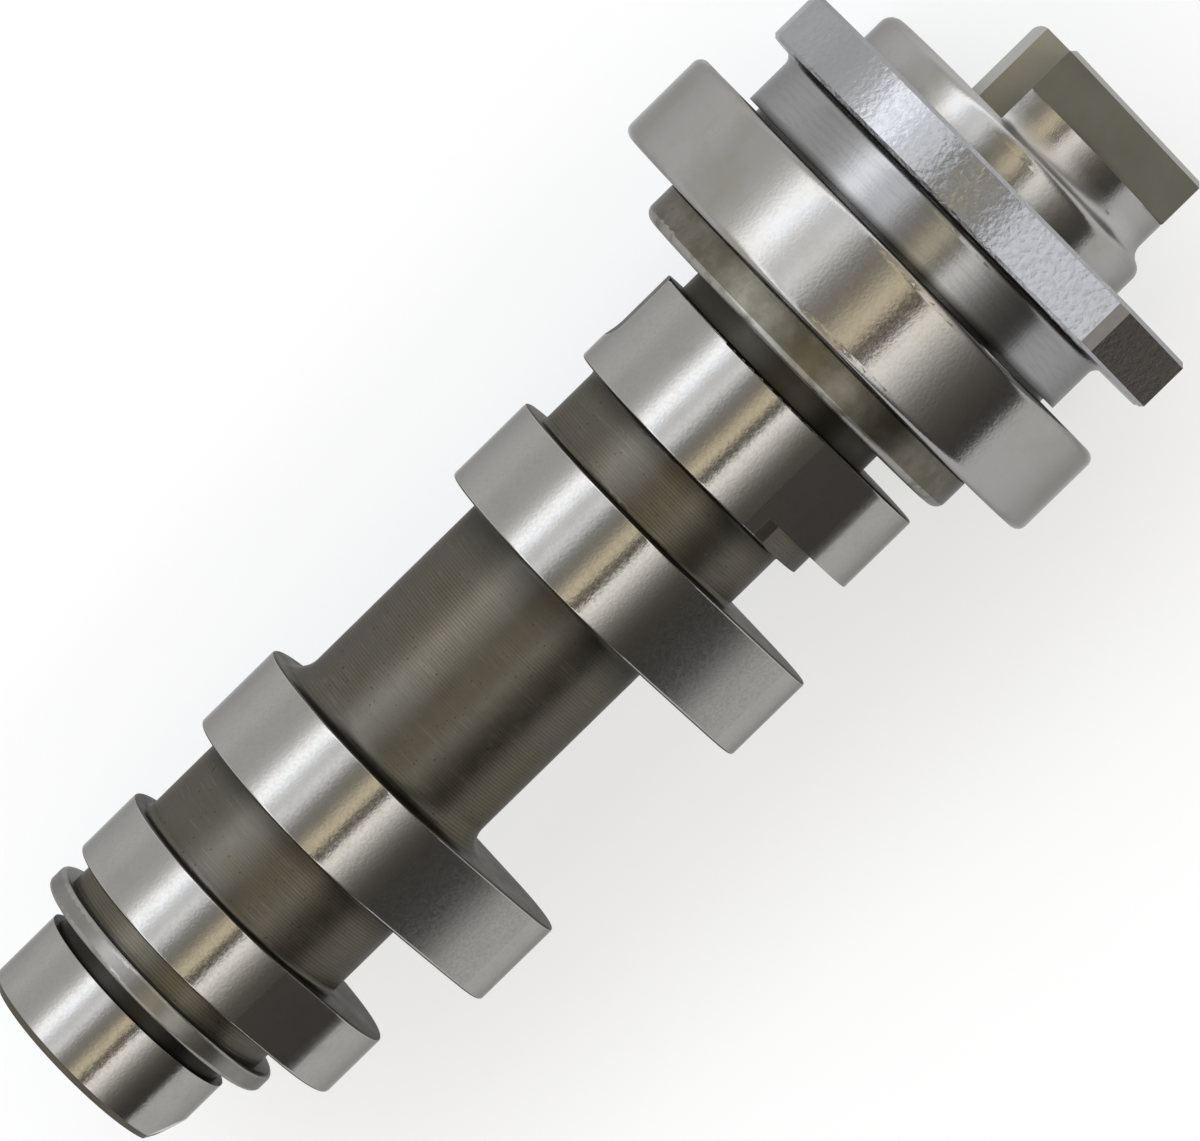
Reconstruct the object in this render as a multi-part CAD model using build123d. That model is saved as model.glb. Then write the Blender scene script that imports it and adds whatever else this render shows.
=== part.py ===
from build123d import *

import os
from math import acos, cos, degrees, radians, sin, sqrt, tan

# Engine camshaft with a ball bearing and a cast drive flange pressed on its driven end.
# Lengths are in millimetres and angles in degrees.
# The shaft axis is X, with the driven end at +X. The origin is on the axis, at the middle of the bearing.
# Angles about the axis are measured from +Y towards +Z.

# Fits
press_gap = 0.01
end_gap = 0.3
rivet_gap = 0.01

# Ball bearing, single row deep groove
bearing_bore = 30.0
bearing_outside = 47.0
bearing_width = 9.0
ring_corner = 0.9
land_corner = 0.2
ball_share = 0.28
ball_count = 14
ball_clearance = 0.03
groove_conformity = 0.52
groove_share = 0.147
pitch_radius = (bearing_bore + bearing_outside) / 4
ball_diameter = ball_share * (bearing_outside - bearing_bore)
groove_depth = groove_share * ball_diameter
inner_floor_radius = pitch_radius - ball_diameter / 2 - ball_clearance
outer_floor_radius = pitch_radius + ball_diameter / 2 + ball_clearance
inner_land_radius = inner_floor_radius + groove_depth
outer_land_radius = outer_floor_radius - groove_depth

# Ribbon cage
cage_sheet = 0.45
cage_side_gap = 0.6
pocket_clearance = 0.12
rivet_diameter = 0.9
rivet_head_diameter = 1.5
rivet_head_height = 0.25

# Camshaft, from the bearing to the free end
shoulder_width = 3.6
shoulder_below_land = 0.1
shoulder_left_round = 1.0
shoulder_right_chamfer = 0.3
neck_length = 2.15
neck_diameter = 21.4
lobe4_width = 9.85
strip_width = 2.05
strip_rise = 0.25
spacer2_length = 6.05
lobe3_width = 8.65
barrel_length = 21.05
barrel_step = 1.0
barrel_left_fillet = 2.0
barrel_right_fillet = 0.6
lobe2_width = 8.6
spacer1_length = 8.15
spacer_diameter = 21.85
spacer_fillet = 0.5
fillet_share = 0.9
lobe1_width = 6.5
thrust_neck_length = 2.1
thrust_flange_width = 1.95
thrust_flange_height = 1.5
thrust_flange_round = 0.5
relief_length = 1.65
relief_depth = 0.7
journal_length = 7.35
journal_diameter = 20.0
journal_chamfer = 0.65

# Angle of the driving tongue as the part lies at rest, from which the other angles are counted
drive_angle = 6.9

# Cam profiles: low lobes 1 and 4, high lobes 2 and 3
low_base_rise = 1.625
low_nose_radius = 10.2
low_nose_offset = 6.64
low_flank_radius = 200.0
low_nose_from_tongue = 193.5
high_base_rise = 2.075
high_nose_radius = 6.3
high_nose_offset = 14.2
high_flank_radius = 120.0
high_nose_from_tongue = 192.0
lobe_edge_round = 0.3
lobe_root_step = 0.5
low_base_radius = spacer_diameter / 2 + low_base_rise
high_base_radius = spacer_diameter / 2 + high_base_rise
low_nose_angle = drive_angle + low_nose_from_tongue
high_nose_angle = drive_angle + high_nose_from_tongue

# Shallow cut across the back of lobe 4, flat from the right face and then rising round the cutter
scoop_radius = 5.5
scoop_depth = 0.42
scoop_from_right = 5.3
scoop_from_tongue = 4.0

# Flat that runs out of the free end of the journal
lead_flat_from_tongue = -6.0
lead_flat_length = 3.3
lead_flat_depth = 1.1

# Centre holes in both ends
centre_diameter = 4.4
centre_pilot_diameter = 1.8
centre_pilot_depth = 5.5
centre_half_angle = 30.0

# Spigot that carries the drive flange
spigot_diameter = 22.0
spigot_short_of_blend = 0.85
spigot_chamfer = 0.8

# Drive flange
collar_diameter = 36.1
collar_length = 5.38
collar_face_below_land = 0.6
collar_relief = 0.35
collar_root_fillet = 0.9
sprocket_bolt_circle = 44.0
sprocket_hole_diameter = 5.0
flange_width = 5.0
flange_rim_past_bolts = 0.9
flange_crown_drop = 2.5
flange_crown_radius = 90.0
flange_left_bevel = 0.3
flange_right_bevel = 0.35
ear_angle = 130.0
ear_root_spread = 34.0
ear_root_fillet = 25.0
ear_tip_past_bolts = 8.1
ear_wall = 1.6
hub_diameter = 30.0
hub_face_length = 3.45
hub_straight_length = 2.2
drive_neck_step = 1.55
drive_neck_blend = 2.3
drive_length = 8.15
drive_block_length = 4.65
drive_floor = 2.1
drive_bottom_step = 1.65
drive_bottom_width = 13.0
tongue_width = 8.0
tongue_height = 3.55
tongue_chamfer = 0.85
tongue_end_round = 1.0
drive_end_chamfer = 0.4
flange_radius = sprocket_bolt_circle / 2 + flange_rim_past_bolts

# Stations along the shaft
bearing_left = -bearing_width / 2
bearing_right = bearing_width / 2
shoulder_left = bearing_left - shoulder_width
lobe4_right = shoulder_left - neck_length
lobe4_left = lobe4_right - lobe4_width
lobe3_right = lobe4_left - spacer2_length
lobe3_left = lobe3_right - lobe3_width
lobe2_right = lobe3_left - barrel_length
lobe2_left = lobe2_right - lobe2_width
lobe1_right = lobe2_left - spacer1_length
lobe1_left = lobe1_right - lobe1_width
thrust_flange_right = lobe1_left - thrust_neck_length
thrust_flange_left = thrust_flange_right - thrust_flange_width
journal_right = thrust_flange_left - relief_length
journal_left = journal_right - journal_length
flange_left = bearing_right + collar_length
flange_right = flange_left + flange_width
hub_face = flange_right + hub_face_length
drive_end = hub_face + drive_length
block_left = drive_end - drive_block_length
spigot_end = flange_right + hub_straight_length - spigot_short_of_blend


def cross_plane(x, angle=0.0):
    """Plane across the shaft at x, whose own X axis points at the angle about the shaft."""
    turned = radians(angle)
    return Plane(origin=(x, 0, 0), x_dir=(0, cos(turned), sin(turned)), z_dir=(1, 0, 0))


def disc(left, right, radius):
    """Solid cylinder on the shaft axis between two stations."""
    return extrude(cross_plane(left) * Circle(radius), amount=right - left)


def corner(profile, x, radius):
    """The corner of a half section that lies nearest to a station and radius."""
    return profile.vertices().sort_by_distance((x, radius, 0))[0]


def turned_profile(left, steps):
    """Half section of a stepped shaft. Each step is its right end and its radius, from left to right."""
    points = [(left, 0)]
    start = left
    for end, radius in steps:
        points += [(start, radius), (end, radius)]
        start = end
    points.append((start, 0))
    return make_face(Polyline(*points, close=True))


def turned(profile):
    """Solid made by turning a half section about the shaft axis."""
    return revolve(profile, Axis.X)


def centre_hole(x, inward):
    """Cutter for a lathe centre in an end face: a cone with a pilot. inward is 1 or -1 along X."""
    radius = centre_diameter / 2
    pilot = centre_pilot_diameter / 2
    cone_depth = (radius - pilot) / tan(radians(centre_half_angle))
    from_face = (Align.CENTER, Align.CENTER, Align.MIN)
    cone = Cone(radius, pilot, cone_depth, align=from_face)
    drilled = Cylinder(pilot, centre_pilot_depth, align=from_face)
    return Plane(origin=(x, 0, 0), z_dir=(inward, 0, 0)) * (cone + drilled)


def cam_face(base_radius, nose_radius, nose_offset, flank_radius):
    """Cam outline with its nose along X: base circle, two convex flanks and a nose, all tangent."""
    to_base = flank_radius - base_radius
    to_nose = flank_radius - nose_radius
    along = (to_base**2 - to_nose**2 + nose_offset**2) / (2 * nose_offset)
    base_angle = degrees(acos(-along / to_base))
    nose_angle = degrees(acos((nose_offset - along) / to_nose))
    flank_across = sqrt(to_base**2 - along**2)
    base = CenterArc((0, 0), base_radius, base_angle, 360 - 2 * base_angle)
    nose = CenterArc((nose_offset, 0), nose_radius, -nose_angle, 2 * nose_angle)
    upper = CenterArc((along, -flank_across), flank_radius, nose_angle, base_angle - nose_angle)
    lower = CenterArc((along, flank_across), flank_radius, -base_angle, base_angle - nose_angle)
    return make_face([base, upper, nose, lower])


def lobe(left, width, outline, angle):
    """Cam lobe from its left face, with rounded rims."""
    body = extrude(cross_plane(left, angle) * outline, amount=width)
    rims = body.edges().group_by(Axis.X)
    return fillet(rims[0] + rims[-1], lobe_edge_round)


def camshaft():
    """The shaft with its four lobes, thrust flange, journal, bearing shoulder, seat and spigot."""
    low_root = low_base_radius - lobe_root_step
    high_root = high_base_radius - lobe_root_step
    spacer = spacer_diameter / 2
    barrel = spacer - barrel_step
    thrust = spacer + thrust_flange_height
    shoulder = inner_land_radius - shoulder_below_land
    journal = journal_diameter / 2
    profile = turned_profile(
        journal_left,
        [
            (journal_right, journal),
            (thrust_flange_left, journal - relief_depth),
            (thrust_flange_right, thrust),
            (lobe1_left, spacer),
            (lobe1_right, low_root),
            (lobe2_left, spacer),
            (lobe2_right, high_root),
            (lobe3_left, barrel),
            (lobe3_right, high_root),
            (lobe4_left, spacer),
            (lobe4_right, low_root),
            (shoulder_left, neck_diameter / 2),
            (bearing_left, shoulder),
            (bearing_right - end_gap, bearing_bore / 2 - press_gap),
            (spigot_end, spigot_diameter / 2 - press_gap),
        ],
    )
    for x, wanted in ((lobe2_right, barrel_left_fillet), (lobe3_left, barrel_right_fillet)):
        profile = fillet(corner(profile, x, barrel), min(wanted, fillet_share * (high_root - barrel)))
    for x in (lobe1_right, lobe2_left, lobe3_right, lobe4_left):
        profile = fillet(corner(profile, x, spacer), min(spacer_fillet, fillet_share * (low_root - spacer)))
    for x in (thrust_flange_left, thrust_flange_right):
        profile = fillet(corner(profile, x, thrust), thrust_flange_round)
    profile = fillet(corner(profile, shoulder_left, shoulder), shoulder_left_round)
    profile = chamfer(corner(profile, bearing_left, shoulder), shoulder_right_chamfer)
    profile = chamfer(corner(profile, journal_left, journal), journal_chamfer)
    profile = chamfer(corner(profile, spigot_end, spigot_diameter / 2), spigot_chamfer)
    shaft = turned(profile)

    low = cam_face(low_base_radius, low_nose_radius, low_nose_offset, low_flank_radius)
    high = cam_face(high_base_radius, high_nose_radius, high_nose_offset, high_flank_radius)
    shaft += lobe(lobe1_left, lobe1_width, low, low_nose_angle)
    shaft += lobe(lobe2_left, lobe2_width, high, high_nose_angle)
    shaft += lobe(lobe3_left, lobe3_width, high, high_nose_angle)
    shaft += lobe(lobe4_left, lobe4_width, low, low_nose_angle) - lobe4_step() - lobe4_scoop()
    return shaft - journal_lead_flat() - centre_hole(journal_left, 1) - centre_hole(spigot_end, -1)


def lobe4_step():
    """Ring that cuts the nose of lobe 4 down to nearly its base circle, along a strip at its left."""
    past_nose = low_nose_offset + 2 * low_nose_radius
    ring = Circle(past_nose) - Circle(low_base_radius + strip_rise)
    return extrude(cross_plane(lobe4_left - strip_width) * ring, amount=2 * strip_width)


def lobe4_scoop():
    """Cutter for the shallow flat on the back of lobe 4, with its axis across the shaft."""
    height = low_base_radius - scoop_depth + scoop_radius
    middle = cross_plane(lobe4_right - scoop_from_right, drive_angle + scoop_from_tongue)
    across = Plane(middle.from_local_coords((height, 0, 0)), x_dir=(1, 0, 0), z_dir=middle.y_dir)
    past_lobe = scoop_from_right + neck_length / 2
    swept = Pos(past_lobe / 2, 0) * Rectangle(past_lobe, 2 * scoop_radius)
    ahead = Pos(past_lobe - scoop_radius, 0) * Rectangle(2 * scoop_radius, 3 * scoop_radius)
    cutter = (Circle(scoop_radius) & ahead) + swept
    return extrude(across * cutter, amount=low_base_radius, both=True)


def journal_lead_flat():
    """Wedge that takes a sloping flat off the free end of the journal."""
    radius = journal_diameter / 2
    middle = journal_left + lead_flat_length
    wedge = Polyline(
        (middle - 2 * lead_flat_length, radius - 2 * lead_flat_depth),
        (middle + lead_flat_length, radius + lead_flat_depth),
        (middle + lead_flat_length, 2 * radius),
        (middle - 2 * lead_flat_length, 2 * radius),
        close=True,
    )
    turned_up = radians(drive_angle + lead_flat_from_tongue)
    side = Plane(origin=(0, 0, 0), x_dir=(1, 0, 0), z_dir=(0, sin(turned_up), -cos(turned_up)))
    return extrude(side * make_face(wedge), amount=radius, both=True)


def ear(angle):
    """Ear of the sprocket flange, tapering from the rim out to a flat tip."""
    root = radians(ear_root_spread)
    half = sprocket_hole_diameter / 2 + ear_wall
    reach = sprocket_bolt_circle / 2 + ear_tip_past_bolts
    root_x = flange_radius * cos(root)
    root_y = flange_radius * sin(root)
    outline = Polyline((0, 0), (root_x, -root_y), (reach, -half), (reach, half), (root_x, root_y), close=True)
    return Rot(0, 0, angle) * make_face(outline)


def sprocket_flange():
    """Cast flange plate with its two ears, crowned top and bolt holes."""
    outline = Circle(flange_radius) + ear(ear_angle) + ear(ear_angle + 180)
    roots = []
    for angle in (ear_angle, ear_angle + 180):
        for side in (-ear_root_spread, ear_root_spread):
            turned_by = radians(angle + side)
            place = (flange_radius * cos(turned_by), flange_radius * sin(turned_by), 0)
            roots.append(outline.vertices().sort_by_distance(place)[0])
    outline = fillet(roots, ear_root_fillet)
    crown_centre = flange_radius - flange_crown_drop - flange_crown_radius
    outline &= Pos(crown_centre, 0) * Circle(flange_crown_radius)
    for angle in (ear_angle, ear_angle + 180):
        outline -= Rot(0, 0, angle) * Pos(sprocket_bolt_circle / 2, 0) * Circle(sprocket_hole_diameter / 2)
    plate = extrude(cross_plane(flange_left, drive_angle) * outline, amount=flange_width)
    for side, depth in ((0, flange_left_bevel), (-1, flange_right_bevel)):
        plate = chamfer(plate.faces().sort_by(Axis.X)[side].outer_wire().edges(), depth)
    return plate


def drive_blank():
    """Turned form of the collar, hub and drive neck."""
    collar = collar_diameter / 2
    hub = hub_diameter / 2
    neck = hub - drive_neck_step
    face = inner_land_radius - collar_face_below_land
    hub_edge = flange_right + hub_straight_length
    neck_start = hub_edge + drive_neck_blend
    blend_middle = ((hub_edge + neck_start) / 2, (hub + neck) / 2)
    outline = [
        Polyline(
            (bearing_right, 0),
            (bearing_right, face),
            (bearing_right + collar_relief, face),
            (bearing_right + collar_relief, collar),
            (flange_left, collar),
            (flange_right, collar),
            (flange_right, hub),
            (hub_edge, hub),
        ),
        TangentArc((hub_edge, hub), blend_middle, tangent=(1, 0)),
        TangentArc((neck_start, neck), blend_middle, tangent=(-1, 0)),
        Polyline(
            (neck_start, neck),
            (block_left, neck),
            (block_left, 0),
            (bearing_right, 0),
        ),
    ]
    return turned(make_face(outline))


def collar_fillet():
    """Ring of fillet metal in the corner between the collar and the sprocket flange."""
    collar = collar_diameter / 2
    tip = (flange_left - collar_root_fillet, collar)
    top = (flange_left, collar + collar_root_fillet)
    arc = RadiusArc(tip, top, -collar_root_fillet)
    edge = Polyline(top, (flange_left + collar_root_fillet, collar), tip)
    return turned(make_face([arc, edge]))


def tongue():
    """Driving tongue that stands on the milled floor, from the hub face to the end."""
    top = drive_floor + tongue_height
    outline = Pos((top + drive_floor) / 2, 0) * Rectangle(tongue_height, tongue_width)
    corners = outline.vertices().group_by(Axis.X)[-1]
    outline = chamfer(corners, tongue_chamfer)
    outline += Rectangle(2 * drive_floor, tongue_width)
    bar = extrude(cross_plane(hub_face, drive_angle) * outline, amount=drive_length)
    end_edges = bar.edges().group_by(Axis.X)[-1]
    upward = Axis((0, 0, 0), cross_plane(0, drive_angle).x_dir)
    return fillet(end_edges.sort_by(upward)[-1], tongue_end_round)


def drive_block():
    """End block of the drive, milled flat on three sides, with a chamfered end."""
    bottom = hub_diameter / 2 - drive_bottom_step
    half_bottom = drive_bottom_width / 2
    half_top = sqrt((hub_diameter / 2) ** 2 - drive_floor**2)
    outline = Polyline(
        (drive_floor, half_top),
        (-bottom, half_bottom),
        (-bottom, -half_bottom),
        (drive_floor, -half_top),
        close=True,
    )
    block = extrude(cross_plane(block_left, drive_angle) * make_face(outline), amount=drive_block_length)
    return chamfer(block.edges().group_by(Axis.X)[-1], drive_end_chamfer)


def drive_flange():
    """Collar, sprocket flange, hub and milled drive end, cast as one piece with a blind bore."""
    body = drive_blank() + sprocket_flange() + collar_fillet()
    above = Pos(drive_floor + hub_diameter, 0) * Rectangle(2 * hub_diameter, 2 * hub_diameter)
    body -= extrude(cross_plane(hub_face, drive_angle) * above, amount=drive_length)
    body += drive_block()
    body += tongue()
    body -= centre_hole(drive_end, -1)
    return body - disc(bearing_right, spigot_end + end_gap, spigot_diameter / 2)


def inner_ring():
    """Inner race, with its bore on the shaft seat."""
    bore = bearing_bore / 2
    land = inner_land_radius
    points = [(bearing_left, bore), (bearing_left, land), (bearing_right, land), (bearing_right, bore)]
    section = make_face(Polyline(*points, close=True))
    for x in (bearing_left, bearing_right):
        section = fillet(corner(section, x, bore), ring_corner)
        section = chamfer(corner(section, x, land), land_corner)
    groove = ball_diameter * groove_conformity
    return turned(section - Pos(0, inner_floor_radius + groove) * Circle(groove))


def outer_ring():
    """Outer race, whose outside fits the engine's bearing housing."""
    outside = bearing_outside / 2
    land = outer_land_radius
    points = [(bearing_left, land), (bearing_left, outside), (bearing_right, outside), (bearing_right, land)]
    section = make_face(Polyline(*points, close=True))
    for x in (bearing_left, bearing_right):
        section = fillet(corner(section, x, outside), ring_corner)
        section = chamfer(corner(section, x, land), land_corner)
    groove = ball_diameter * groove_conformity
    return turned(section - Pos(0, outer_floor_radius - groove) * Circle(groove))


def around(count, start=0.0):
    """Angles of equally spaced places about the shaft."""
    return [start + 360 * index / count for index in range(count)]


def on_pitch(angle, shape):
    """A shape moved from the origin to the ball pitch circle, at an angle about the shaft."""
    return Rot(angle, 0, 0) * Pos(0, pitch_radius, 0) * shape


def cage_half(side):
    """One pressed half of the ribbon cage: flat webs and round pockets. side is 1 or -1 along X."""
    inner = inner_land_radius + cage_side_gap
    outer = outer_land_radius - cage_side_gap
    pocket = ball_diameter / 2 + pocket_clearance
    shell = pocket + cage_sheet
    band = Circle(outer) - Circle(inner)
    half_space = extrude(cross_plane(0) * band, amount=side * shell)
    half = extrude(cross_plane(0) * band, amount=side * cage_sheet)
    for angle in around(ball_count):
        half += on_pitch(angle, Sphere(shell)) & half_space
    for angle in around(ball_count):
        half -= on_pitch(angle, Sphere(pocket))
    for angle in around(ball_count, 180 / ball_count):
        half -= on_pitch(angle, Rot(0, 90, 0) * Cylinder(rivet_diameter / 2, 4 * cage_sheet))
    return half


def rivet():
    """Cage rivet along X, with a low head each side of the two sheets."""
    radius = rivet_diameter / 2 - rivet_gap
    head = rivet_head_diameter / 2
    stem = Rot(0, 90, 0) * Cylinder(radius, 2 * cage_sheet)
    cap = Rot(0, 90, 0) * Cylinder(head, rivet_head_height)
    offset = cage_sheet + rivet_head_height / 2
    return stem + Pos(offset, 0, 0) * cap + Pos(-offset, 0, 0) * cap


def save(shape, node):
    """Write one node's file."""
    export_step(shape, "parts/" + node + ".step")


os.makedirs("parts", exist_ok=True)
save(camshaft(), "camshaft")
save(drive_flange(), "drive_flange")
save(inner_ring(), "bearing_inner_ring")
save(outer_ring(), "bearing_outer_ring")
for number, angle in enumerate(around(ball_count), start=1):
    save(on_pitch(angle, Sphere(ball_diameter / 2)), f"bearing_ball_{number:02d}")
save(cage_half(-1), "bearing_cage_left")
save(cage_half(1), "bearing_cage_right")
rivets = [on_pitch(angle, rivet()) for angle in around(ball_count, 180 / ball_count)]
save(Compound(children=rivets), "bearing_cage_rivets")
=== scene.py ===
import math

import bpy
from mathutils import Matrix, Vector


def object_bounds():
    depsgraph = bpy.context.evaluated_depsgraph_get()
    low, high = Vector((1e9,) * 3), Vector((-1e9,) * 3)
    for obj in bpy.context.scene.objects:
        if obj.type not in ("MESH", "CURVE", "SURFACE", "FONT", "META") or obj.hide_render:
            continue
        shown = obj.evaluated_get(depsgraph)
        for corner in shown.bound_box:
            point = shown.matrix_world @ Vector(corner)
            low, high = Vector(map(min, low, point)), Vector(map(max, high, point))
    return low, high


# Engine camshaft with a ball bearing and a cast drive flange. The frame is the CAD frame, in metres:
# X is the shaft axis with the driven end at +X, and angles about it run from +Y towards +Z.

MM = 0.001

# The driving tongue's own direction out from the shaft, and the direction square to it, on the camera's side
DRIVE_ANGLE = 6.9
RISE = Vector((0, math.cos(math.radians(DRIVE_ANGLE)), math.sin(math.radians(DRIVE_ANGLE))))
TOWARDS = Vector((1, 0, 0)).cross(RISE)

# Places along the shaft, in millimetres, where the finish changes. A lobe has its sides and base radius
JOURNAL = (-91.5, -84.85)
THRUST_FLANGE = (-83.2, -81.15)
LOBES = ((-79.1, -72.6, 12.55), (-64.45, -55.85, 13.0), (-34.8, -26.15, 13.0), (-20.1, -10.25, 12.55))
STEP_RIGHT = -18.05
SHOULDER = (-8.15, -4.4)
# Where the painted contact shade on the collar, by the bearing, fades out
COLLAR_SHADE = (4.9, 5.6)
COLLAR_END = 9.6
FLANGE_END = 14.9
ROOT_START = (17.6, 18.2)
HUB_FACE = 18.3
ROOT_END = (18.5, 20.3)
DRIVE_BLOCK = 21.8

# Distances from the axis where it changes, and how far past an edge a finish reaches
FLANK_START = 13.05
FLANK_FULL = 13.5
STEP_RADIUS = 12.62
NECK_RADIUS = 13.45
ROOT_RADIUS = 15.6
EAR_TIP_RADIUS = 29.6
BASE_SLACK = 0.06
SIDE_SLACK = 0.2
SIDE_MARGIN = 0.3
RING_EDGE = (3.4, 4.4)

# How far a surface's direction points along an axis, where it counts as a corner, an end face or an upward
# bevel that gets a painted highlight
CORNER_TILT = (0.3, 0.95)
END_TILT = 0.9
LIT_BEVEL_TILT = (0.6, 0.8)

# Tool marks: the turning tool's feed; and how far painted shade darkens the skin left of lobes 2, 3 and 4
FEED = 0.29
LOBE_SHADE_REACH = (2.0, 4.0, 2.0)

# Depth of the relief that a height of 1 stands for, in metres
GRAIN_DEPTH = 1.2e-5
CAGE_DEPTH = 6.0e-6
BALL_DEPTH = 1.0e-6

# Finishes, as linear colours. EDGE_TINT dims the reflection where a surface turns away
EDGE_TINT = (0.55, 0.55, 0.55)
GROUND = (0.33, 0.325, 0.315)
GROUND_DULL = (0.26, 0.25, 0.23)
GROUND_WORN_AND_HIGHLIGHT = (0.42, 0.41, 0.39)
DARK = (0.102, 0.097, 0.082)
DARK_BROWN = (0.090, 0.078, 0.055)
DARK_SCUFF = (0.19, 0.185, 0.17)
RIM = (0.122, 0.112, 0.088)
RIM_WORN_AND_HIGHLIGHT = (0.30, 0.29, 0.265)
THRUST = (0.20, 0.195, 0.185)
# Near-black of pits and undercuts, also used as painted shade at the collar's joint, beside the lobes and on
# their side faces
BLACK_OXIDE_AND_SHADE = (0.03, 0.028, 0.025)
NECK_DARK = (0.050, 0.046, 0.038)
BLASTED = (0.335, 0.34, 0.352)
BLASTED_DULL = (0.315, 0.319, 0.329)
BLASTED_DARK = (0.14, 0.129, 0.116)
COLLAR = (0.28, 0.28, 0.285)
COLLAR_SCORE = (0.19, 0.185, 0.18)
HUB = (0.34, 0.335, 0.325)
HUB_ROOT_HIGHLIGHT = (0.46, 0.45, 0.44)
TAN = (0.27, 0.235, 0.17)
MILLED = (0.29, 0.283, 0.245)
MILLED_DULL = (0.215, 0.205, 0.172)
MILLED_EDGE_WEAR_AND_HIGHLIGHT = (0.42, 0.42, 0.40)
BALL = (0.62, 0.62, 0.63)
BALL_MARKED = (0.5, 0.49, 0.47)
CAGE = (0.42, 0.41, 0.39)
CAGE_OILY = (0.3, 0.27, 0.21)

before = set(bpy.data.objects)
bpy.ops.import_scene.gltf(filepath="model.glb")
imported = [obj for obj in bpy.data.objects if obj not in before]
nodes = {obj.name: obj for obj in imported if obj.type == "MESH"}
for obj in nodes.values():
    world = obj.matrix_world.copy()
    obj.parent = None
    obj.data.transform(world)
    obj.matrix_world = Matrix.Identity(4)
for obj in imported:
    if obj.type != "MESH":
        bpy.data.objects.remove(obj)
cad_low, cad_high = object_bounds()


class Net:
    """Short calls that add nodes to one tree. Any input takes a number, a colour or another output."""

    def __init__(self, tree):
        self.tree = tree
        tree.nodes.clear()

    def add(self, kind, inputs=None, **settings):
        node = self.tree.nodes.new(kind)
        for name, value in settings.items():
            setattr(node, name, value)
        for key, value in (inputs or {}).items():
            self.put(node.inputs[key], value)
        return node

    def put(self, socket, value):
        if isinstance(value, bpy.types.NodeSocket):
            self.tree.links.new(value, socket)
        elif isinstance(value, tuple) and socket.type == "RGBA":
            socket.default_value = (*value, 1.0)
        else:
            socket.default_value = value

    def math(self, operation, first, second=0.0, third=0.0):
        node = self.add("ShaderNodeMath", {0: first, 1: second, 2: third}, operation=operation)
        return node.outputs[0]

    def share(self, mask, amount):
        return self.math("MULTIPLY", mask, amount)

    def over(self, value, limit):
        return self.math("GREATER_THAN", value, limit)

    def under(self, value, limit):
        return self.math("LESS_THAN", value, limit)

    def within(self, value, low, high):
        """1 between two numbers and 0 outside."""
        return self.math("COMPARE", value, (low + high) / 2, (high - low) / 2)

    def either(self, *masks):
        total = masks[0]
        for mask in masks[1:]:
            total = self.math("MAXIMUM", total, mask)
        return total

    def both(self, *masks):
        total = masks[0]
        for mask in masks[1:]:
            total = self.math("MULTIPLY", total, mask)
        return total

    def invert(self, mask):
        return self.math("SUBTRACT", 1.0, mask)

    def rise(self, value, low, high):
        """0 below low, 1 above high, and a straight slope between them."""
        node = self.add("ShaderNodeMapRange", {"Value": value, "From Min": low, "From Max": high})
        return node.outputs[0]

    def mix(self, data_type, sockets, factor, first, second):
        """Mix node of one data type, whose two inputs and output have their own numbers."""
        node = self.add("ShaderNodeMix", data_type=data_type)
        self.put(node.inputs[0], factor)
        self.put(node.inputs[sockets[0]], first)
        self.put(node.inputs[sockets[1]], second)
        return node.outputs[sockets[2]]

    def colour(self, factor, first, second):
        return self.mix("RGBA", (6, 7, 2), factor, first, second)

    def number(self, factor, first, second):
        return self.mix("FLOAT", (2, 3, 0), factor, first, second)

    def noise(self, vector, scale, detail=2.0, roughness=0.5):
        inputs = {"Vector": vector, "Scale": scale, "Detail": detail, "Roughness": roughness}
        return self.add("ShaderNodeTexNoise", inputs).outputs[0]

    def bump(self, height, distance):
        return self.add("ShaderNodeBump", {"Height": height, "Distance": distance}).outputs[0]


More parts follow.
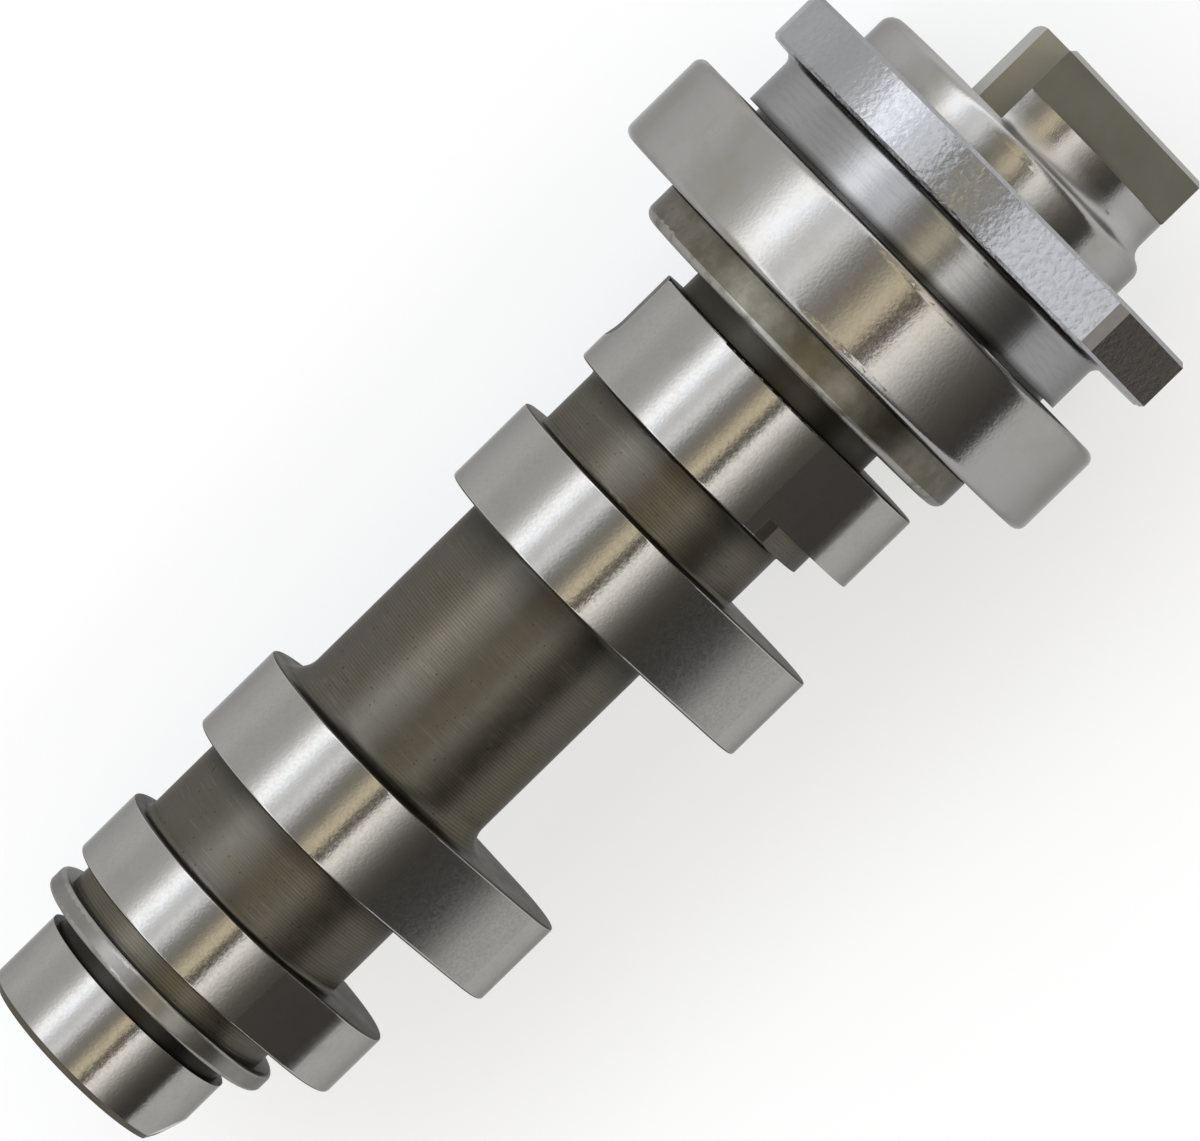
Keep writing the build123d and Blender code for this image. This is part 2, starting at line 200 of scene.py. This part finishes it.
class Turned(Net):
    """A material's tree with what turned parts need: place along the axis, radius and turned lines."""

    def __init__(self, name):
        self.material = bpy.data.materials.new(name)
        self.material.use_nodes = True
        super().__init__(self.material.node_tree)
        where = self.add("ShaderNodeTexCoord")
        self.place = where.outputs["Object"]
        split = self.add("ShaderNodeSeparateXYZ", {0: self.place})
        self.x, self.y, self.z = (self.math("DIVIDE", split.outputs[i], MM) for i in range(3))
        squares = self.math("ADD", self.both(self.y, self.y), self.both(self.z, self.z))
        self.radius = self.math("SQRT", squares)
        self.facing = self.add("ShaderNodeSeparateXYZ", {0: where.outputs["Normal"]}).outputs
        self.end_on = self.math("ABSOLUTE", self.facing[0])
        self.side_on = self.under(self.end_on, 0.5)
        self.corner = self.within(self.end_on, *CORNER_TILT)

    def lines(self, per_mm, around=3.0, detail=3.0):
        """Noise drawn out into rings about the axis, on round and end faces alike."""
        along = self.math("MULTIPLY", self.math("ADD", self.x, self.radius), per_mm)
        round_y = self.math("MULTIPLY", self.math("DIVIDE", self.y, self.radius), around)
        round_z = self.math("MULTIPLY", self.math("DIVIDE", self.z, self.radius), around)
        vector = self.add("ShaderNodeCombineXYZ", {0: along, 1: round_y, 2: round_z}).outputs[0]
        return self.noise(vector, 1.0, detail, 0.6)

    def feed_marks(self, pitch_mm):
        """Regular lines that the turning tool leaves, from 0 to 1."""
        return self.math("PINGPONG", self.math("DIVIDE", self.x, pitch_mm / 2), 1.0)

    def speckle(self, size_mm, detail=2.0):
        return self.noise(self.place, 1.0 / (size_mm * MM), detail)

    def finish(self, colour, roughness, height, depth):
        normal = self.bump(height, depth)
        inputs = {"Base Color": colour, "Roughness": roughness, "Metallic": 1.0, "Normal": normal}
        shader = self.add("ShaderNodeBsdfPrincipled", inputs)
        self.put(shader.inputs["Specular Tint"], EDGE_TINT)
        self.add("ShaderNodeOutputMaterial", {"Surface": shader.outputs[0]})
        return self.material


def lobe_surfaces(net):
    """One mask for each lobe: between its sides and outside its base circle."""
    masks = []
    for left, right, base in LOBES:
        masks.append(net.both(net.within(net.x, left, right), net.over(net.radius, base - BASE_SLACK)))
    return masks


def shade_beside_lobes(net):
    """Painted shade: where the skin darkens towards the left side of a lobe."""
    masks = []
    for (left, _, _), reach in zip(LOBES[1:], LOBE_SHADE_REACH):
        masks.append(net.both(net.rise(net.x, left - reach, left), net.under(net.x, left)))
    return net.either(*masks)


def turned_skin(net, fine, patches, blotches):
    """Dark skin with brown patches, scuffs, feed marks and pits, with painted shade beside the lobes and on
    their side faces.
    """
    coarse = net.lines(2.2, 1.2)
    pits = net.rise(net.speckle(0.3, 0.0), 0.78, 0.84)
    scuffs = net.both(net.rise(fine, 0.54, 0.68), net.rise(blotches, 0.45, 0.65))
    marked = net.both(net.rise(net.feed_marks(FEED), 0.35, 0.9), net.rise(patches, 0.4, 0.6))
    among_lobes = net.within(net.x, LOBES[0][0] - SIDE_MARGIN, LOBES[3][1] + SIDE_MARGIN)
    shaded_lobe_sides = net.both(among_lobes, net.over(net.end_on, END_TILT))

    skin = net.colour(net.rise(patches, 0.42, 0.66), DARK, DARK_BROWN)
    skin = net.colour(net.share(scuffs, 0.55), skin, DARK_SCUFF)
    skin = net.colour(net.share(net.rise(coarse, 0.35, 0.7), 0.3), skin, DARK_BROWN)
    skin = net.colour(net.share(marked, 0.3), skin, DARK_SCUFF)
    skin = net.colour(net.share(pits, 0.6), skin, BLACK_OXIDE_AND_SHADE)
    # Painted shade: the skin goes darker towards the left side of lobes 2, 3 and 4
    skin = net.colour(net.share(shade_beside_lobes(net), 0.75), skin, BLACK_OXIDE_AND_SHADE)
    # Painted shade: the side faces of the lobes are darkened
    return net.colour(net.share(shaded_lobe_sides, 0.4), skin, BLACK_OXIDE_AND_SHADE)


def tumbled_rim(net, thrust, blotches):
    """Thrust flange and bearing shoulder with patches of wear, and corners painted bright as wear and as an
    edge highlight.
    """
    # Patches of wear, and corners painted bright partly as wear and partly as an edge highlight
    wear_and_highlight = net.either(net.share(net.rise(blotches, 0.4, 0.7), 0.3), net.corner)
    rim = net.colour(thrust, RIM, THRUST)
    return net.colour(net.both(wear_and_highlight, net.rise(blotches, 0.3, 0.5)), rim, RIM_WORN_AND_HIGHLIGHT)


def ground_steel(net, speckle, blotches):
    """Ground running surface with dull and tan spots, and corners painted brighter as wear and as an edge
    highlight.
    """
    bright = net.colour(net.share(net.rise(blotches, 0.5, 0.75), 0.35), GROUND, GROUND_DULL)
    bright = net.colour(net.share(net.rise(speckle, 0.45, 0.8), 0.25), bright, TAN)
    # Corners painted brighter, partly as wear and partly as an edge highlight
    return net.colour(net.corner, bright, GROUND_WORN_AND_HIGHLIGHT)


def shaft_material():
    """Dark turned skin, ground lobes and journal, tumbled flanges, and black undercuts."""
    net = Turned("shaft_steel")
    last_left, last_right, _ = LOBES[3]
    on_lobe = lobe_surfaces(net)
    by_step = net.within(net.x, last_left - SIDE_SLACK, STEP_RIGHT)
    stepped = net.both(by_step, net.over(net.radius, STEP_RADIUS))
    on_journal = net.within(net.x, *JOURNAL)
    ground = net.both(net.either(on_journal, *on_lobe), net.side_on, net.invert(stepped))
    flank = net.rise(net.radius, FLANK_START, FLANK_FULL)
    thrust = net.within(net.x, *THRUST_FLANGE)
    rims = net.either(thrust, net.within(net.x, *SHOULDER))
    relief = net.within(net.x, JOURNAL[1], THRUST_FLANGE[0])
    neck = net.within(net.x, last_right, SHOULDER[0])
    scooped = net.both(net.within(net.x, last_left, last_right), net.invert(on_lobe[3]))
    undercut = net.both(net.either(relief, scooped), net.side_on)

    fine = net.lines(9.0, 2.0)
    speckle = net.speckle(0.28)
    patches = net.noise(net.place, 90.0, 3.0, 0.6)
    blotches = net.noise(net.place, 420.0, 3.0, 0.65)

    skin = turned_skin(net, fine, patches, blotches)
    colour = net.colour(rims, skin, tumbled_rim(net, thrust, blotches))
    colour = net.colour(net.both(neck, net.side_on), colour, NECK_DARK)
    colour = net.colour(undercut, colour, BLACK_OXIDE_AND_SHADE)
    colour = net.colour(ground, colour, ground_steel(net, speckle, blotches))

    dull = net.number(net.rise(blotches, 0.3, 0.7), 0.32, 0.42)
    shine = net.number(net.rise(speckle, 0.3, 0.7), 0.14, 0.19)
    rough = net.number(ground, net.number(rims, dull, 0.3), shine)

    dull_height = net.math("ADD", net.share(fine, 0.9), net.share(speckle, 0.6))
    mottle = net.math("MULTIPLY", speckle, net.number(flank, 0.6, 0.12))
    fine_height = net.math("ADD", net.share(fine, 0.12), mottle)
    return net.finish(colour, rough, net.number(ground, dull_height, fine_height), GRAIN_DEPTH)


def blasted_casting(net, peel, patches, tip):
    """Blasted plate with a little brown, and dark ear tips."""
    blasted = net.colour(net.rise(peel, 0.35, 0.7), BLASTED, BLASTED_DULL)
    blasted = net.colour(net.share(net.rise(patches, 0.55, 0.75), 0.2), blasted, TAN)
    return net.colour(net.both(tip, net.invert(net.corner)), blasted, BLASTED_DARK)


def turned_collar(net, scores):
    """Scored collar with painted contact shade where it meets the bearing."""
    turned = net.colour(net.share(net.rise(scores, 0.45, 0.68), 0.3), COLLAR, COLLAR_SCORE)
    # Painted shade: the collar goes near black where it meets the bearing, for the shadow in that joint
    contact_shade = net.invert(net.rise(net.x, *COLLAR_SHADE))
    return net.colour(net.share(contact_shade, 0.8), turned, BLACK_OXIDE_AND_SHADE)


def milled_end(net, patches):
    """Olive milled faces, with a painted highlight on chamfers that face up, and corners painted bright as
    wear and as an edge highlight.
    """
    olive = net.colour(net.share(net.rise(patches, 0.4, 0.7), 0.6), MILLED, MILLED_DULL)
    # Painted highlight: faces that point up along the tongue's direction, such as its top chamfer, are
    # coloured bright
    upward = net.math("ADD", *(net.math("MULTIPLY", net.facing[i], RISE[i]) for i in (1, 2)))
    return net.colour(net.either(net.corner, net.within(upward, *LIT_BEVEL_TILT)), olive, MILLED_EDGE_WEAR_AND_HIGHLIGHT)


def flange_material():
    """Blasted casting with a turned collar, a smooth hub with a painted highlight at its root, and a milled
    drive end.
    """
    net = Turned("cast_steel")
    collar = net.under(net.x, COLLAR_END)
    plate = net.within(net.x, COLLAR_END, FLANGE_END)
    tip = net.over(net.radius, EAR_TIP_RADIUS)
    end = net.over(net.x, HUB_FACE)
    inside = net.under(net.radius, NECK_RADIUS - SIDE_SLACK)
    milled = net.both(end, net.either(net.over(net.x, DRIVE_BLOCK), inside))
    by_root = net.both(net.rise(net.x, *ROOT_START), net.invert(net.rise(net.x, *ROOT_END)))
    root = net.both(by_root, net.under(net.radius, ROOT_RADIUS))

    fine = net.lines(7.0, 3.0)
    scores = net.lines(3.6, 6.0)
    peel = net.speckle(0.6, 3.0)
    speckle = net.speckle(0.25)
    patches = net.noise(net.place, 160.0, 3.0, 0.6)

    hub = net.colour(net.share(net.rise(patches, 0.5, 0.72), 0.6), HUB, TAN)
    # Painted highlight: the hub's root fillet is coloured brighter to stand in for the highlight it catches
    hub = net.colour(root, hub, HUB_ROOT_HIGHLIGHT)
    colour = net.colour(plate, hub, blasted_casting(net, peel, patches, tip))
    colour = net.colour(collar, colour, turned_collar(net, scores))
    colour = net.colour(milled, colour, milled_end(net, patches))

    rough = net.number(net.rise(peel, 0.3, 0.7), 0.19, 0.27)
    rough = net.number(plate, 0.2, rough)
    rough = net.number(collar, rough, 0.23)
    rough = net.number(root, rough, 0.36)
    rough = net.number(milled, rough, 0.42)

    pitted = net.math("MULTIPLY", peel, net.number(net.both(plate, net.invert(tip)), 0.8, 4.2))
    cast_height = net.math("ADD", pitted, net.share(speckle, 0.35))
    turned_height = net.math("ADD", net.share(fine, 0.6), net.share(speckle, 0.5))
    height = net.number(net.either(collar, milled), cast_height, turned_height)
    return net.finish(colour, rough, height, GRAIN_DEPTH)


def ring_material():
    """Ground bearing rings with slight brown staining and turned lines."""
    net = Turned("bearing_steel")
    fine = net.lines(10.0, 2.0)
    speckle = net.speckle(0.28)
    stain = net.noise(net.place, 140.0, 4.0, 0.65)
    edge = net.rise(net.math("ABSOLUTE", net.x), *RING_EDGE)
    stained = net.both(net.rise(stain, 0.48, 0.7), net.number(edge, 0.35, 0.8))
    colour = net.colour(stained, GROUND, TAN)
    colour = net.colour(net.share(net.rise(fine, 0.55, 0.75), 0.2), colour, GROUND_DULL)
    rough = net.number(net.rise(speckle, 0.3, 0.7), 0.14, 0.19)
    rough = net.number(net.both(edge, net.rise(stain, 0.4, 0.6)), rough, 0.26)
    height = net.math("ADD", net.share(fine, 0.12), net.share(speckle, 0.6))
    return net.finish(colour, rough, height, GRAIN_DEPTH)


def ball_material():
    """Polished balls with faint rolling marks."""
    net = Turned("ball_steel")
    marks = net.speckle(0.5, 4.0)
    colour = net.colour(net.rise(marks, 0.55, 0.75), BALL, BALL_MARKED)
    rough = net.number(net.rise(marks, 0.4, 0.8), 0.08, 0.16)
    return net.finish(colour, rough, marks, BALL_DEPTH)


def cage_material():
    """Pressed sheet with an oily satin surface."""
    net = Turned("cage_steel")
    grain = net.speckle(0.2, 3.0)
    oil = net.noise(net.place, 300.0, 3.0, 0.6)
    colour = net.colour(net.rise(oil, 0.4, 0.7), CAGE, CAGE_OILY)
    rough = net.number(net.rise(grain, 0.3, 0.7), 0.28, 0.42)
    return net.finish(colour, rough, grain, CAGE_DEPTH)


def dress(names, material):
    for name in names:
        slots = nodes[name].data.materials
        slots.clear()
        slots.append(material)


dress(["camshaft"], shaft_material())
dress(["drive_flange"], flange_material())
dress(["bearing_inner_ring", "bearing_outer_ring"], ring_material())
dress([name for name in nodes if name.startswith("bearing_ball_")], ball_material())
dress([name for name in nodes if name.startswith("bearing_cage_")], cage_material())

# Camera, from a model fitted to the photograph: distances in millimetres, its turn about the view in degrees
CAMERA_DISTANCE = 571.0
CAMERA_X = 4.95
AIM_X = -31.65
AIM_RISE = -1.34
PHOTO_TURN = 44.38
LENS = 205.1
SENSOR_WIDTH = 36.0

position = Vector((CAMERA_X, 0, 0)) + CAMERA_DISTANCE * TOWARDS + AIM_RISE * RISE
aim = Vector((AIM_X, 0, 0)) + AIM_RISE * RISE
back = (position - aim).normalized()
level = (Vector((1, 0, 0)) - back.x * back).normalized()
upward = back.cross(level)
turn = math.radians(PHOTO_TURN)
right = math.cos(turn) * level - math.sin(turn) * upward
up = math.sin(turn) * level + math.cos(turn) * upward

camera_data = bpy.data.cameras.new("camera")
camera_data.sensor_fit = "HORIZONTAL"
camera_data.sensor_width = SENSOR_WIDTH
camera_data.lens = LENS
camera = bpy.data.objects.new("camera", camera_data)
axes = Matrix((right, up, back)).transposed().to_4x4()
camera.matrix_world = Matrix.Translation(position * MM) @ axes
bpy.context.scene.collection.objects.link(camera)
bpy.context.scene.camera = camera
bpy.context.scene.view_settings.view_transform = "Standard"

# Floor: pale and plain, level with the lowest point of the part. The lift shows only to the camera, in
# reflections and through glass, and lights nothing
FLOOR_HALF = 3.0
FLOOR_COLOUR = (0.38, 0.386, 0.398)
FLOOR_LIFT = 0.59

floor_mesh = bpy.data.meshes.new("floor")
ways = [(-1, -1), (1, -1), (1, 1), (-1, 1)]
corners = [(x * FLOOR_HALF, y * FLOOR_HALF, cad_low[2]) for x, y in ways]
floor_mesh.from_pydata(corners, [], [(0, 1, 2, 3)])
floor = bpy.data.objects.new("floor", floor_mesh)
bpy.context.scene.collection.objects.link(floor)
floor_material = bpy.data.materials.new("floor_pale")
floor_material.use_nodes = True
net = Net(floor_material.node_tree)
path = net.add("ShaderNodeLightPath").outputs
seen = net.either(path["Is Camera Ray"], path["Is Glossy Ray"], path["Is Transmission Ray"])
pale = net.add("ShaderNodeBsdfDiffuse", {"Color": FLOOR_COLOUR})
lift = net.add("ShaderNodeEmission", {"Strength": net.share(seen, FLOOR_LIFT)})
both = net.add("ShaderNodeAddShader", {0: pale.outputs[0], 1: lift.outputs[0]})
net.add("ShaderNodeOutputMaterial", {"Surface": both.outputs[0]})
floor_mesh.materials.append(floor_material)

# Studio light: long soft boxes and screens along the shaft, by their angle past the camera's side of the axis
LIGHT_BANDS = (
    (96.9, (1.0, 1.0, 1.0)),
    (85, (0.88, 0.88, 0.87)),
    (70, (0.88, 0.88, 0.86)),
    (61, (1.0, 1.0, 0.99)),
    (55, (1.38, 1.38, 1.38)),
    (50, (2.3, 2.33, 2.4)),
    (47, (2.9, 2.95, 3.05)),
    (42, (2.9, 2.97, 3.1)),
    (38, (2.25, 2.33, 2.5)),
    (34, (1.5, 1.52, 1.56)),
    (28, (1.35, 1.37, 1.4)),
    (23.5, (1.9, 1.93, 1.97)),
    (19, (1.5, 1.52, 1.55)),
    (12, (0.5, 0.49, 0.46)),
    (3, (0.40, 0.37, 0.32)),
    (-1.5, (0.74, 0.66, 0.52)),
    (-7, (1.45, 1.28, 0.92)),
    (-12.8, (1.45, 1.28, 0.92)),
    (-14.4, (0.03, 0.025, 0.02)),
    (-21.4, (0.03, 0.025, 0.02)),
    (-23, (2.35, 2.27, 2.12)),
    (-29, (2.05, 2.0, 1.9)),
    (-33, (1.5, 1.48, 1.42)),
    (-39, (0.92, 0.9, 0.86)),
    (-46, (0.42, 0.4, 0.37)),
    (-56, (0.2, 0.185, 0.16)),
    (-68, (0.12, 0.11, 0.10)),
    (-78, (0.07, 0.065, 0.06)),
    (-83.1, (0.07, 0.065, 0.06)),
)
CAMERA_ANGLE = 90 + DRIVE_ANGLE
RAMP_SPAN = 180
BRIGHTEST = 3.1


def ramp_place(past):
    """Where an angle past the camera's side falls on the ramp."""
    return (CAMERA_ANGLE - past) / RAMP_SPAN


def ramp_colour(colour):
    return (*(c / BRIGHTEST for c in colour), 1.0)


world = bpy.data.worlds.new("studio")
bpy.context.scene.world = world
world.use_nodes = True
net = Net(world.node_tree)
direction = net.add("ShaderNodeSeparateXYZ", {0: net.add("ShaderNodeTexCoord").outputs["Generated"]})
angle = net.math("ARCTAN2", direction.outputs[2], direction.outputs[1])
ramp = net.add("ShaderNodeValToRGB", {0: net.math("DIVIDE", angle, math.pi)})
stops = ramp.color_ramp.elements
ends = (LIGHT_BANDS[0], LIGHT_BANDS[-1])
for stop, (past, colour) in zip(stops, ends):
    stop.position = ramp_place(past)
    stop.color = ramp_colour(colour)
for past, colour in LIGHT_BANDS[1:-1]:
    stops.new(ramp_place(past)).color = ramp_colour(colour)
glow = net.add("ShaderNodeBackground", {"Color": ramp.outputs[0], "Strength": BRIGHTEST})
net.add("ShaderNodeOutputWorld", {"Surface": glow.outputs[0]})
